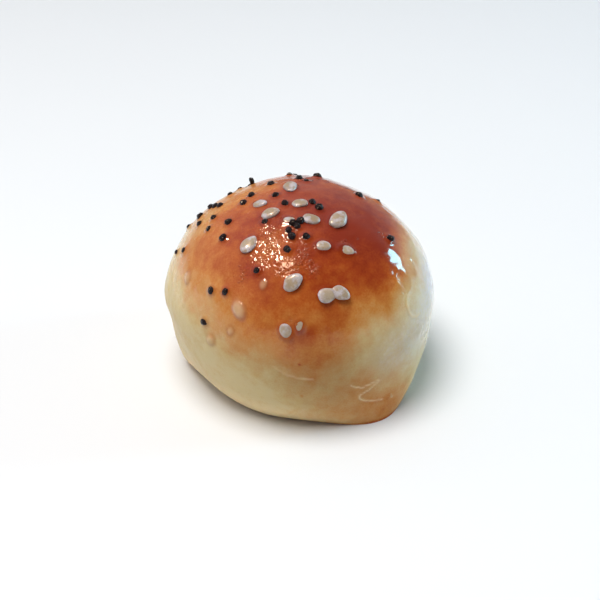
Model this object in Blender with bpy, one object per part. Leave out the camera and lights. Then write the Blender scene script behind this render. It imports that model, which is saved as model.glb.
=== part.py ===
"""A small hand-shaped bread roll, one solid piece, standing on its baked flat foot.

Units are metres, +Z is up and -Y is the front. The origin is the middle of the foot's level,
under the centre of the roll's outline box. Bearings are degrees round the upright axis, from
+X (the right side) anticlockwise as seen from above, so the front is at 270.
"""
import math
from collections import namedtuple

import bmesh
import bpy
from mathutils import Vector

# Driving dimensions
ROLL_WIDTH = 0.0460
ROLL_DEPTH = 0.0450
ROLL_HEIGHT = 0.0348
BELLY_HEIGHT = 0.0148  # the level at which the roll is widest
FOOT_WIDTH = 0.0356
FOOT_DEPTH = 0.0358
FOOT_SHIFT = (0.0002, 0.0037)  # how far the foot sits off the crown's middle, along X and Y
CROWN_FULLNESS = 1.96  # power of the superellipse from top to belly: 2 is round, less is more pointed
FLANK_FULLNESS = 1.8  # the same from belly to foot
CROWN_ROWS = 22
FLANK_ROWS = 16
COLUMNS = 84
SHARP_ANGLE = 40  # degrees

# A hand-shaped roll is uneven. A push moves the outline out (or in, if negative) by its size,
# most at its bearing and fading over its spread, as a bell curve.
Push = namedtuple("Push", "bearing size spread")
BELLY_PUSHES = (
    Push(0, -0.0004, 24),  # the side that rose against the next roll is a little flat
    Push(322, 0.0005, 16),  # the ridge between that side and the front
    Push(304, -0.0005, 30),
    Push(225, -0.0010, 40),
)
BELLY_LIFTS = (
    Push(304, -0.0020, 34),  # the right front sags
)
FOOT_PUSHES = (
    Push(183, 0.0019, 14),  # left corner
    Push(217, -0.0015, 22),  # pinched in between the left corner and the front
    Push(306, 0.0052, 24),  # the foot spread out into a blunt corner at the right front
)

# A dimple does the same to a round patch of skin, seen from the middle of the roll at a bearing and
# at a rise above the belly in degrees. A positive size is a swelling.
Dimple = namedtuple("Dimple", "bearing rise size spread")
DIMPLES = (
    Dimple(46, 48, -0.0005, 14),  # the crown's back right is flatter
    Dimple(130, 50, -0.0003, 14),  # and its back left
    Dimple(24, 32, -0.0003, 12),
    Dimple(180, 1, 0.0004, 8),  # blunt corner of the left side
    Dimple(190, -14, -0.0004, 11),
    Dimple(335, -32, 0.0003, 10),
)

CRUST_COLOUR = (0.42, 0.16, 0.045, 1)
CRUST_ROUGHNESS = 0.3


def clear_scene():
    for obj in list(bpy.data.objects):
        bpy.data.objects.remove(obj, do_unlink=True)


def crust_material():
    material = bpy.data.materials.new("crust")
    material.use_nodes = True
    shader = material.node_tree.nodes["Principled BSDF"]
    shader.inputs["Base Color"].default_value = CRUST_COLOUR
    shader.inputs["Roughness"].default_value = CRUST_ROUGHNESS
    shader.inputs["Metallic"].default_value = 0
    return material


def pushed(bearing, pushes):
    """The sum of the pushes at a bearing in degrees."""
    total = 0
    for push in pushes:
        away = (bearing - push.bearing + 180) % 360 - 180
        total += push.size * math.exp(-((away / push.spread) ** 2))
    return total


def ellipse_radius(bearing, width, depth):
    """Distance from the middle of an ellipse of this width and depth to its edge."""
    angle = math.radians(bearing)
    return 1 / math.hypot(math.cos(angle) / (width / 2), math.sin(angle) / (depth / 2))


def superellipse(turn, fullness):
    """(across, along) of a quarter superellipse with unit sides; turn runs from 0 at its tip to 1."""
    angle = turn * math.pi / 2
    across, along = math.sin(angle), math.cos(angle)
    size = (across**fullness + along**fullness) ** (-1 / fullness)
    return across * size, along * size


def smooth_point(level, bearing):
    """A point of the roll's skin before its dimples.

    Level runs from 0 at the top through 1 at the belly to 2 at the foot. From the top to the belly
    the skin follows a superellipse, and from the belly in to the foot another. The centre line
    leans from the foot's middle to the crown's middle.
    """
    belly = ellipse_radius(bearing, ROLL_WIDTH, ROLL_DEPTH) + pushed(bearing, BELLY_PUSHES)
    foot = ellipse_radius(bearing, FOOT_WIDTH, FOOT_DEPTH) + pushed(bearing, FOOT_PUSHES)
    widest = BELLY_HEIGHT + pushed(bearing, BELLY_LIFTS)
    if level <= 1:
        across, along = superellipse(level, CROWN_FULLNESS)
        radius = belly * across
        height = widest + (ROLL_HEIGHT - widest) * along
    else:
        down, out = superellipse(level - 1, FLANK_FULLNESS)
        radius = foot + (belly - foot) * out
        height = widest * (1 - down)
    lean = (1 - height / ROLL_HEIGHT) ** 2
    angle = math.radians(bearing)
    return Vector(
        (
            radius * math.cos(angle) + FOOT_SHIFT[0] * lean,
            radius * math.sin(angle) + FOOT_SHIFT[1] * lean,
            height,
        )
    )


def direction(bearing, rise):
    """Unit vector at a bearing and a rise, both in degrees."""
    angle, up = math.radians(bearing), math.radians(rise)
    return Vector((math.cos(up) * math.cos(angle), math.cos(up) * math.sin(angle), math.sin(up)))


def roll_point(level, bearing):
    """A point of the roll's skin, with the dimples. Each moves it along its line from the middle of the
    belly, by a bell curve of the angle to the dimple. The foot stays flat: below the belly the upward
    part of the move fades out.
    """
    point = smooth_point(level, bearing)
    outward = (point - Vector((0, 0, BELLY_HEIGHT))).normalized()
    move = 0
    for dimple in DIMPLES:
        away = math.degrees(outward.angle(direction(dimple.bearing, dimple.rise)))
        move += dimple.size * math.exp(-((away / dimple.spread) ** 2))
    outward.z *= min(1, point.z / BELLY_HEIGHT)
    return point + outward * move


def ring(mesh, level):
    """One closed row of vertices round the roll."""
    bearings = [360 * column / COLUMNS for column in range(COLUMNS)]
    return [mesh.verts.new(roll_point(level, bearing)) for bearing in bearings]


def roll_mesh():
    """Rows of faces from the top down to the foot, which is one flat face."""
    mesh = bmesh.new()
    top = mesh.verts.new(roll_point(0, 0))
    levels = [row / CROWN_ROWS for row in range(1, CROWN_ROWS + 1)]
    levels += [1 + row / FLANK_ROWS for row in range(1, FLANK_ROWS + 1)]
    rings = [ring(mesh, level) for level in levels]
    for column in range(COLUMNS):
        mesh.faces.new((top, rings[0][column], rings[0][(column + 1) % COLUMNS]))
    for upper, lower in zip(rings, rings[1:]):
        for column in range(COLUMNS):
            beside = (column + 1) % COLUMNS
            mesh.faces.new((upper[column], lower[column], lower[beside], upper[beside]))
    mesh.faces.new(reversed(rings[-1]))
    return mesh


def centre_over_origin(mesh):
    """Puts the middle of the outline box over the origin."""
    for axis in (0, 1):
        places = [vertex.co[axis] for vertex in mesh.verts]
        middle = (min(places) + max(places)) / 2
        for vertex in mesh.verts:
            vertex.co[axis] -= middle


def make_bread_roll():
    mesh = roll_mesh()
    centre_over_origin(mesh)
    data = bpy.data.meshes.new("bread_roll")
    mesh.to_mesh(data)
    mesh.free()
    data.shade_smooth()
    data.set_sharp_from_angle(angle=math.radians(SHARP_ANGLE))
    data.materials.append(crust_material())
    roll = bpy.data.objects.new("bread_roll", data)
    bpy.context.scene.collection.objects.link(roll)


clear_scene()
make_bread_roll()
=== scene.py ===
"""Looks of a small glazed bread roll, sprinkled with white sesame and round dark seeds.

Laid out as a Blender add-on and run as a script. Units are metres, +Z is up and -Y is the front.
A bearing is an angle in degrees round the upright axis from +X, the right, anticlockwise as seen
from above, so the front is at 270. A rise is the angle above the belly's level, in degrees. Both
are seen from the belly's middle. A turn is an angle on the skin, from its own right to its top.
"""
import math
from collections import namedtuple
from functools import lru_cache

import bpy
import numpy as np
from bpy.props import FloatProperty, FloatVectorProperty, IntProperty, PointerProperty
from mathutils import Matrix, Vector


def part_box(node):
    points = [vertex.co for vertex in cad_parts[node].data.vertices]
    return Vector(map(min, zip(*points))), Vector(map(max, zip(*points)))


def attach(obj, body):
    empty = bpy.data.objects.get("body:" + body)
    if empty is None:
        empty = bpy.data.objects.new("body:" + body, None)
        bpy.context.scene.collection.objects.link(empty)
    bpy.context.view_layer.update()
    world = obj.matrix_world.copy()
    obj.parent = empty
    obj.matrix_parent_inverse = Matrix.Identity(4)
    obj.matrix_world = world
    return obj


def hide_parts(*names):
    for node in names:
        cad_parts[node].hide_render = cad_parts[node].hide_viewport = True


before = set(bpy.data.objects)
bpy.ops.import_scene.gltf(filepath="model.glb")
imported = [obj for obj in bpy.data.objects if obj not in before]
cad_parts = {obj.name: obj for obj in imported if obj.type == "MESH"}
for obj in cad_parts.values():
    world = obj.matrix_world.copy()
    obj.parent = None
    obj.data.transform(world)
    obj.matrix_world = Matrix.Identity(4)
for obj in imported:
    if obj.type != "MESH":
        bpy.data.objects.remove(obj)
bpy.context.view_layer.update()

bl_info = {
    "name": "Glazed Bread Roll",
    "version": (1, 0, 0),
    "blender": (4, 5, 0),
    "location": "View3D > Sidebar > Bread Roll",
    "description": "Crust, glaze, seeds and stage of a small glazed bread roll",
    "category": "Add Mesh",
}

NODE = "bread_roll"
BODY = "root"
NODE_LOW, NODE_HIGH = (np.array(corner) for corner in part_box(NODE))
MM = 0.001

# ---------------------------------------------------------------- shape of the roll, as in the CAD

ROLL_WIDTH = 0.0460
ROLL_DEPTH = 0.0450
ROLL_HEIGHT = 0.0348
BELLY_HEIGHT = 0.0148
FOOT_WIDTH = 0.0356
FOOT_DEPTH = 0.0358
FOOT_SHIFT = (0.0002, 0.0037)
CROWN_FULLNESS = 1.96
FLANK_FULLNESS = 1.8
BELLY_MIDDLE = np.array([0, 0, BELLY_HEIGHT])

Push = namedtuple("Push", "bearing size spread")
BELLY_PUSHES = (
    Push(0, -0.0004, 24),
    Push(322, 0.0005, 16),
    Push(304, -0.0005, 30),
    Push(225, -0.0010, 40),
)
BELLY_LIFTS = (Push(304, -0.0020, 34),)
FOOT_PUSHES = (
    Push(183, 0.0019, 14),
    Push(217, -0.0015, 22),
    Push(306, 0.0052, 24),
)

Dimple = namedtuple("Dimple", "bearing rise size spread")
DIMPLES = (
    Dimple(46, 48, -0.0005, 14),
    Dimple(130, 50, -0.0003, 14),
    Dimple(24, 32, -0.0003, 12),
    Dimple(180, 1, 0.0004, 8),
    Dimple(190, -14, -0.0004, 11),
    Dimple(335, -32, 0.0003, 10),
)

# ---------------------------------------------------------------- where the seeds lie

# sink is how much of the seed's thickness is under the glaze: 0 lies on top, 1 is just covered.
Sesame = namedtuple("Sesame", "bearing rise turn size sink")
SESAME_IN_VIEW = (
    Sesame(267, 36, 44, 1.02, 0.22),  # the largest, alone on the front
    Sesame(283, 30.5, 4, 0.98, 0.28),  # a pair to its right
    Sesame(289.5, 30, -44, 0.92, 0.16),
    Sesame(264.5, 16, -66, 0.88, 0.57),  # a pair below, half under the glaze
    Sesame(270, 19, -100, 0.62, 0.56),
    Sesame(236, 49, 84, 1.04, 0.42),  # left of the bubbly glaze
    Sesame(307, 61, 24, 1.08, 0.18),  # right of the top
    Sesame(237, 66, 50, 0.92, 0.30),
    Sesame(200, 86, 42, 0.95, 0.32),  # near the top
    Sesame(212, 69, 40, 0.78, 0.36),
    Sesame(271, 75, 0, 0.80, 0.34),
    Sesame(282, 65, -28, 0.86, 0.26),
    Sesame(259, 64, 8, 0.66, 0.55),
    Sesame(286, 51, -14, 0.72, 0.36),
    Sesame(300, 47, -34, 0.80, 0.57),
    Sesame(243, 22, -52, 0.92, 0.72),  # sunk under the glaze at the lower left
    Sesame(230, 4, 60, 0.62, 0.78),
    Sesame(207, 23, 110, 0.62, 0.85),
    Sesame(252, 34, 85, 0.50, 0.96),
    Sesame(240, 12, 75, 0.45, 0.95),
)

# proud is how far a seed's middle stands over the skin, in its radii. A standing one is upright.
Poppy = namedtuple("Poppy", "bearing rise size proud standing", defaults=(False,))
POPPY_IN_VIEW = (
    Poppy(264, 63, 1.06, 0.35),  # the cluster left of the top
    Poppy(271, 64, 1.04, 0.45),
    Poppy(268, 61, 0.95, 0.3),
    Poppy(264, 56, 1.09, 0.25),
    Poppy(261, 59, 0.95, 0.1),
    Poppy(275, 56, 1.06, 0.1),
    Poppy(262, 50, 1.06, 0.05),
    Poppy(247, 39, 0.95, -0.05),
    Poppy(237, 61, 1.00, 0.0),
    Poppy(293, 75, 0.95, 0.3),
    Poppy(298, 71, 1.12, 0.3),
    Poppy(245, 74, 1.02, 0.15),
    Poppy(211, 77, 1.04, 0.1),
    Poppy(154, 75, 1.09, 0.1),
    Poppy(102, 66, 0.90, 0.1),  # along the far edge of the crown
    Poppy(91, 79, 1.12, 0.1),
    Poppy(65, 82, 0.76, 0.1),
    Poppy(62, 71, 1.09, 0.15),
    Poppy(137, 57, 0.62, 1.45, True),
    Poppy(141, 50, 0.80, 0.0),
    Poppy(159, 53, 0.95, -0.1),
    Poppy(183, 67, 1.04, 0.15),
    Poppy(193, 63, 1.08, 0.1),
    Poppy(170, 45, 1.04, 0.25),  # the dense upper left
    Poppy(174, 48, 1.00, 0.2),
    Poppy(178, 51, 1.00, 0.15),
    Poppy(174, 39, 1.09, 0.15),
    Poppy(184, 40, 0.95, 0.1),
    Poppy(190, 48, 0.95, 0.05),
    Poppy(207, 53, 1.09, 0.05),
    Poppy(198, 44, 0.95, 0.0),
    Poppy(215, 46, 1.12, 0.1),
    Poppy(171, 30, 0.85, 0.0),
    Poppy(191, 28, 0.85, 0.0),
    Poppy(184, 23, 0.85, 0.0),
    Poppy(226, 25, 1.04, 0.05),  # lower left
    Poppy(234, 27, 1.00, 0.05),
    Poppy(226, 11, 0.98, 0.05),
    Poppy(5, 61, 1.10, 0.1),  # right
    Poppy(12, 50, 0.85, -0.15),
    Poppy(334, 42, 1.04, 0.1),
)

# ---------------------------------------------------------------- how the crust browned

# Below this rise the dough stays pale. The pushes, which here are in degrees, move that edge.
BROWN_EDGE_RISE = 20
BROWN_EDGE_PUSHES = (
    Push(273, -27, 38),  # lowest at the front
    Push(225, -13, 34),
    Push(345, 0, 26),
    Push(10, 8, 26),  # highest on the right
    Push(80, -7, 40),
)
EDGE_FADE = 3.0  # degrees over which the browning sets in
CROWN_FADE = 24.0  # degrees over which it comes near its fullest

# A patch browns the crust more, or less if negative, round a place, fading over its spread.
Patch = namedtuple("Patch", "bearing rise amount spread")
BROWN_PATCHES = (
    Patch(326, 49, 0.30, 18),  # darkest, right of the top
    Patch(352, 50, 0.12, 12),
    Patch(321, 34, 0.20, 9),
    Patch(314, 24, 0.14, 7),
    Patch(303, 38, 0.13, 8),
    Patch(290, 54, 0.06, 8),
    Patch(312, 13, 0.18, 7),
    Patch(243, 38, 0.20, 5),
    Patch(212, 44, 0.06, 8),
    Patch(273, 17, 0.07, 6),
    Patch(284, 24, 0.14, 4),
    Patch(182, 36, -0.12, 14),
    Patch(254, 50, -0.16, 10),
    Patch(272, 12, 0.04, 8),  # toasted front
    Patch(225, 28, -0.12, 18),  # golden left
    Patch(195, 65, -0.08, 20),
    Patch(150, 58, -0.30, 24),
    Patch(267, 23, -0.12, 9),
    Patch(286, 18, 0.08, 8),
    Patch(292, -13, 0.27, 18),  # faint toast below the crown
    Patch(299, 15, -0.12, 12),
    Patch(268, -10, 0.10, 9),
    Patch(290, -30, 0.14, 16),
    Patch(314, -29, 0.46, 14),  # baked corner of the foot
    Patch(25, -26, 0.12, 18),  # faint toast low on the sides
    Patch(75, -12, 0.09, 22),
    Patch(140, -24, 0.10, 20),
    Patch(270, 2, 0.40, 0.6),  # two burnt specks
    Patch(271, -17, 0.35, 0.6),
)
# Painted shade: these darken the dough at the lower front, where less light falls.
PAINTED_SHADE_PATCHES = (Patch(283, -8, 1.4, 16), Patch(262, -6, 0.7, 14))
# Painted cool sheen of the side window, lightening the pale dough on the right.
WINDOW_SHEEN_PATCHES = (Patch(350, 14, 1.2, 12), Patch(330, 2, 0.5, 14), Patch(312, -4, 0.4, 12))
# The glaze is thinner here.
DRY_PATCHES = (Patch(150, 48, 0.75, 34),)
FOOT_LINE = 0.30  # how much browner the crust is where it meets the tray
FOOT_LINE_HEIGHT = 0.7 * MM

GLAZE_EDGE_PUSHES = (Push(0, -34, 34),)  # in degrees, as the glaze was brushed lower here

# Frothy patches of the glaze, with many small bubbles.
FROTH_PATCHES = (
    Patch(247, 57, 1.0, 6),
    Patch(250, 50, 1.0, 6),
    Patch(246, 43, 0.6, 4),
    Patch(273, 48, 0.9, 5),
    Patch(268, 44, 0.8, 4),
    Patch(277, 41, 0.8, 3.5),
    Patch(260, 40, 0.5, 4),
    Patch(266, 60, 0.5, 5),
    Patch(303, 49, 0.4, 4),
    Patch(267, 21, 0.7, 3),
    Patch(240, 36, 0.5, 4),
    Patch(331, 46, 0.4, 2.5),
)
GLAZE_BEAD = Patch(267, 43, 1.0, 1.8)  # one large smooth drop among the froth

# A run of glaze lies along a line of (bearing, rise) places. Pale is how strong a pale line,
# a painted highlight, is along it.
Run = namedtuple("Run", "height width pale places")
GLAZE_RUNS = (
    Run(0.08, 0.45, 0, ((324, 30.5), (321, 28), (320.5, 24.5), (321.5, 20))),
    Run(0.10, 0.20, 0, ((339, 30), (337, 27), (336, 25))),
    Run(0.12, 0.20, 0.6, ((323, 20), (321, 17), (321, 13), (322, 10), (325, 8.5), (328, 9))),
    Run(0.09, 0.14, 0.9, ((292, -13), (295, -15), (298, -15.5), (302, -14.5), (305, -13))),
    Run(
        0.12, 0.16, 1,
        ((306, -13.5), (303, -16), (300, -18), (297, -19.5), (296.5, -21), (299, -23), (303, -24), (309, -25)),
    ),
    Run(0.08, 0.14, 0.7, ((313, -24), (314, -26))),
    Run(0.06, 0.15, 0.45, ((259, 0), (262, -2), (265, -4), (270, -5.5), (276, -6.5))),
)

# Broad glows of the room, each in its own colour, sharper with a higher power.
Glow = namedtuple("Glow", "bearing rise sharpness colour")
ROOM_GLOWS = (
    Glow(170, 35, 2.5, (0.44, 0.45, 0.52)),
    Glow(90, 42, 2.5, (0.32, 0.36, 0.40)),
    Glow(36, 0, 16.0, (0.35, 0.70, 0.90)),
)

# ---------------------------------------------------------------- numbers on angles and on the skin


def gap(bearing, other):
    """The signed angle from another bearing to this one, the short way round, in degrees."""
    return (bearing - other + 180) % 360 - 180


def pushed(bearing, pushes):
    """The sum of bell curves round the bearings of the pushes."""
    return sum(p.size * np.exp(-((gap(bearing, p.bearing) / p.spread) ** 2)) for p in pushes)


def smooth_step(value):
    """0 below 0, 1 above 1, and an S-curve, 3v^2 - 2v^3, between them."""
    value = np.clip(value, 0, 1)
    return value * value * (3 - 2 * value)


def unit(vectors):
    """The vectors at length 1."""
    return vectors / np.maximum(np.linalg.norm(vectors, axis=-1, keepdims=True), 1e-12)


def direction(bearing, rise):
    """Unit vectors at bearings and rises in degrees."""
    angle, up = np.radians(bearing), np.radians(rise)
    flat = np.cos(up)
    return np.stack([flat * np.cos(angle), flat * np.sin(angle), np.sin(up)], axis=-1)


def angle_from(outward, place):
    """The angle in degrees between unit vectors and the direction of a place."""
    return np.degrees(np.arccos(np.clip(outward @ direction(place.bearing, place.rise), -1, 1)))


def soft_noise(points, wavelength, seed, waves=28):
    """Smooth noise of about unit size: a sum of sine waves of about one wavelength that run in
    random directions with random phases.
    """
    draw = np.random.default_rng(seed)
    heading = unit(draw.normal(size=(waves, 3)))
    pitch = 2 * math.pi / (wavelength * draw.uniform(0.7, 1.4, waves))
    phase = draw.uniform(0, 2 * math.pi, waves)
    return np.sin(points @ (heading * pitch[:, None]).T + phase).sum(axis=-1) * math.sqrt(2 / waves)


def ellipse_radius(bearing, width, depth):
    """The distance from the middle of an ellipse to its edge: 1 / hypot(cos / a, sin / b)."""
    angle = np.radians(bearing)
    return 1 / np.hypot(np.cos(angle) / (width / 2), np.sin(angle) / (depth / 2))


def superellipse(turn, fullness):
    """(across, along) of a quarter superellipse, across^f + along^f = 1, as turn runs from 0 to 1."""
    angle = turn * math.pi / 2
    across, along = np.abs(np.sin(angle)), np.abs(np.cos(angle))
    size = (across**fullness + along**fullness) ** (-1 / fullness)
    return across * size, along * size


def round_skin(level, bearing):
    """The roll's skin before its dimples. Level runs from 0 at the top through 1 at the belly to 2
    at the foot. From the top to the belly the height follows a superellipse of the radius, and from
    the belly in to the foot another. The centre line leans, with the square of the depth below
    the top, from the crown's middle to the foot's.
    """
    belly = ellipse_radius(bearing, ROLL_WIDTH, ROLL_DEPTH) + pushed(bearing, BELLY_PUSHES)
    foot = ellipse_radius(bearing, FOOT_WIDTH, FOOT_DEPTH) + pushed(bearing, FOOT_PUSHES)
    widest = BELLY_HEIGHT + pushed(bearing, BELLY_LIFTS)
    across, along = superellipse(np.minimum(level, 1), CROWN_FULLNESS)
    down, out = superellipse(np.clip(level - 1, 0, 1), FLANK_FULLNESS)
    crown = level <= 1
    radius = np.where(crown, belly * across, foot + (belly - foot) * out)
    height = np.where(crown, widest + (ROLL_HEIGHT - widest) * along, widest * (1 - down))
    lean = (1 - height / ROLL_HEIGHT) ** 2
    angle = np.radians(bearing)
    return np.stack(
        [
            radius * np.cos(angle) + FOOT_SHIFT[0] * lean,
            radius * np.sin(angle) + FOOT_SHIFT[1] * lean,
            height,
        ],
        axis=-1,
    )


def dimpled(points):
    """Moves points along their lines from the belly's middle by a bell curve of the angle to each
    dimple. Below the belly the upward part of the move fades, so the foot stays flat.
    """
    outward = unit(points - BELLY_MIDDLE)
    move = sum(d.size * np.exp(-((angle_from(outward, d) / d.spread) ** 2)) for d in DIMPLES)
    outward[..., 2] *= np.minimum(1, points[..., 2] / BELLY_HEIGHT)
    return points + outward * move[..., None]


def bunched(share, pull):
    """Shares from 0 to 1 moved closer together near 0, by taking off a sine: s - pull sin(2 pi s)."""
    return share - pull / (2 * math.pi) * np.sin(2 * math.pi * share)


@lru_cache
def smooth_skin(columns, crown_rows, flank_rows):
    """The whole smooth skin as a grid of points, (rows, columns, 3), and its outward unit normals.

    The grid is the function of level and bearing above, fitted to the CAD solid's box. Its columns
    are closest at the front and its crown's rows half way down, where the finest glaze lies. A
    normal is the cross product of the differences to the neighbouring rows and columns.
    """
    crown = bunched(np.arange(1, crown_rows + 1) / crown_rows, -0.35)
    levels = np.concatenate([crown, 1 + np.arange(1, flank_rows + 1) / flank_rows])
    bearings = 270 + 360 * bunched(np.arange(columns) / columns, 0.45)
    points = dimpled(round_skin(levels[:, None], bearings[None, :]))
    low, high = points.min(axis=(0, 1)), points.max(axis=(0, 1))
    high[2] = dimpled(round_skin(np.zeros(1), np.zeros(1)))[0, 2]
    points = NODE_LOW + (points - low) * (NODE_HIGH - NODE_LOW) / (high - low)
    down = np.gradient(points, axis=0)
    along = np.roll(points, -1, axis=1) - np.roll(points, 1, axis=1)
    return points, unit(np.cross(down, along))


def skin_of(crust):
    """The smooth skin on the grid that the crust's settings ask for."""
    return smooth_skin(crust.columns, crust.crown_rows, crust.flank_rows)


def spots_on(skin, places):
    """Points, normals and sideways and upward directions on the skin, where the lines from the
    belly's middle to the places come out. Each takes the grid point nearest to its line.
    """
    points, normals = (part.reshape(-1, 3) for part in skin)
    wanted = direction(*np.array([(p.bearing, p.rise) for p in places], float).T)
    nearest = np.argmax(unit(points - BELLY_MIDDLE) @ wanted.T, axis=0)
    normal = normals[nearest]
    side = unit(np.cross((0, 0, 1), normal))
    return points[nearest], normal, side, np.cross(normal, side)


# ---------------------------------------------------------------- meshes


def shell_faces(rows, columns):
    """The faces of one closed shell of rings: four-sided between rings, and a fan at either pole.

    Points count along the rings from the upper end; the two poles come last.
    """
    ring = np.arange(rows * columns).reshape(rows, columns)
    beside = np.roll(ring, -1, axis=1)
    sides = np.stack([ring[:-1], ring[1:], beside[1:], beside[:-1]], axis=-1).reshape(-1, 4)
    upper, lower = np.full(columns, rows * columns), np.full(columns, rows * columns + 1)
    fans = [np.stack([upper, ring[0], beside[0]], -1), np.stack([lower, beside[-1], ring[-1]], -1)]
    return sides, np.concatenate(fans)


def shells_mesh(name, rings, poles, attributes):
    """A mesh of closed shells from arrays: rings (shells, rows, columns, 3), poles (shells, 2, 3),
    and attributes, a dict of values for every point in the same order.
    """
    shells, rows, columns, _ = rings.shape
    points = np.concatenate([rings.reshape(shells, -1, 3), poles], axis=1)
    step = (np.arange(shells) * points.shape[1])[:, None, None]
    sides, fans = shell_faces(rows, columns)
    faces = (sides + step).reshape(-1, 4).tolist() + (fans + step).reshape(-1, 3).tolist()
    mesh = bpy.data.meshes.new(name)
    mesh.from_pydata(points.reshape(-1, 3).tolist(), [], faces)
    for key, values in attributes.items():
        layer = mesh.attributes.new(key, "FLOAT", "POINT")
        layer.data.foreach_set("value", np.ascontiguousarray(values, np.float32).ravel())
    mesh.shade_smooth()
    mesh.update()
    return mesh


def add_piece(name, mesh, material):
    """Puts a mesh into the scene as a piece that rides on the roll's body."""
    old = bpy.data.objects.get(name)
    if old:
        bpy.data.objects.remove(old, do_unlink=True)
    piece = bpy.data.objects.new(name, mesh)
    bpy.context.scene.collection.objects.link(piece)
    mesh.materials.append(material)
    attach(piece, BODY)
    return piece


# ---------------------------------------------------------------- seeds


LISTED_SIDE = direction(270, 33)  # the lists above cover what faces this way
BARE_BEARING = 80  # right of this bearing the far edge is bare


def scattered(kind, count, seed, **spans):
    """Seeds drawn at random over the part of the crown that the lists leave empty. The sine of the
    rise is drawn evenly, which scatters them evenly over a ball.
    """
    draw = np.random.default_rng(seed)
    seeds = []
    while len(seeds) < count:
        bearing = draw.uniform(-15, 195)
        rise = math.degrees(math.asin(draw.uniform(0.1, 1)))
        values = {key: draw.uniform(*span) for key, span in spans.items()}
        hidden = -0.45 if bearing < BARE_BEARING else -0.2
        if direction(bearing, rise) @ LISTED_SIDE < hidden:
            seeds.append(kind(bearing, rise, **values))
    return seeds


def all_sesame(settings):
    spans = {"turn": (-90, 90), "size": (0.62, 1.05), "sink": (0.05, 0.9)}
    more = scattered(Sesame, settings.sesame_behind, settings.random_seed, **spans)
    return list(SESAME_IN_VIEW) + more


def all_poppy(settings):
    spans = {"size": (0.85, 1.1), "proud": (0.15, 0.6)}
    more = scattered(Poppy, settings.poppy_behind, settings.random_seed + 1, **spans)
    return list(POPPY_IN_VIEW) + more


def footprint(points, spot, turn, half_length, half_width):
    """Distance of points from a seed's middle, in seed radii: 1 on the outline of its ellipse."""
    point, normal, side, top = spot
    away = points - point
    angle = math.radians(turn)
    along = away @ (math.cos(angle) * side + math.sin(angle) * top)
    across = away @ (math.cos(angle) * top - math.sin(angle) * side)
    shares = (along / half_length, across / half_width, away @ normal / half_width)
    return np.sqrt(sum(share**2 for share in shares))


def sesame_rings(settings, rows=26, columns=20):
    """The skins of all the sesame seeds, as rings along each from its pointed to its round end.

    With t from -1 to 1 along the seed, the half width is sqrt(1 - t^2) (1 - taper t), drawn in to
    a blunt point, and the thickness is a fuller curve, (1 - t^2)^0.4. Each seed has its own
    taper, its own bend across, a flat or hollow back and a slightly uneven skin of soft noise.
    Returned with the rim value of each point, from 0 on the upper ridge to 1 at the outline.
    """
    seeds = all_sesame(settings)
    draw = np.random.default_rng(settings.random_seed + 2)
    count = len(seeds)
    taper = draw.uniform(0.04, 0.20, count)[:, None, None]
    bend = draw.uniform(-0.10, 0.10, count)[:, None, None]
    lumps = draw.uniform(0.015, 0.035, count)[:, None]
    hollow = draw.uniform(0.0, 0.22, count)[:, None, None]
    t = np.cos(math.pi * np.arange(1, rows + 1) / (rows + 1))[None, :, None]
    angle = (2 * math.pi * np.arange(columns) / columns)[None, None, :]
    size = np.array([s.size for s in seeds])[:, None, None]
    half = np.array([settings.sesame_length, settings.sesame_width, settings.sesame_thickness]) / 2
    width = np.sqrt(1 - t**2) * (1 - taper * t) / (1 + taper**2)
    thick = (1 - t**2) ** 0.4 * (1 - 0.4 * taper * t)
    dent = 1 - hollow * np.exp(-((np.cos(angle) / 0.35) ** 2)) * (1 - t**2)
    along = t * np.ones_like(angle) * half[0] * size
    across = (width * np.cos(angle) + bend * (1 - t**2)) * half[1] * size
    up = thick * np.sin(angle) * dent * half[2] * size
    ends = np.zeros((count, 2, 3))
    ends[:, 0, 0], ends[:, 1, 0] = half[0] * size[:, 0, 0], -half[0] * size[:, 0, 0]
    local = np.stack([along, across, up], axis=-1).reshape(count, -1, 3)
    local = np.concatenate([local, ends], axis=1)
    shift = np.arange(count)[:, None, None] * 7 * MM
    local *= 1 + lumps[..., None] * soft_noise(local + shift, 1.7 * MM, 31)[..., None]
    rim = np.hypot(t, np.cos(angle) * np.sqrt(1 - t**2)) * np.ones((count, 1, 1))
    rim = np.concatenate([rim.reshape(count, -1), np.ones((count, 2))], axis=1)
    return seeds, local, rim, (rows, columns)


def set_on_skin(local, spots, turns, lifts, tilts):
    """Places seeds, given about their own middles, on the skin: turned about the normal, tipped
    about their own width, and lifted along the normal.
    """
    point, normal, side, top = spots
    turn, tilt = np.radians(turns)[:, None], np.radians(tilts)[:, None]
    flat = np.cos(turn) * side + np.sin(turn) * top
    across = np.cross(normal, flat)
    along = np.cos(tilt) * flat + np.sin(tilt) * normal
    up = np.cross(along, across)
    axes = np.stack([along, across, up], axis=1)
    return (point + normal * lifts[:, None])[:, None, :] + local @ axes


def seed_mesh(name, placed, rows, columns, shades, **attributes):
    """Closed shells from placed points, with one shade value for each seed."""
    count = len(placed)
    rings = placed[:, :-2].reshape(count, rows, columns, 3)
    values = {"shade": np.repeat(shades, placed.shape[1]), **attributes}
    return shells_mesh(name, rings, placed[:, -2:], values)


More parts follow.
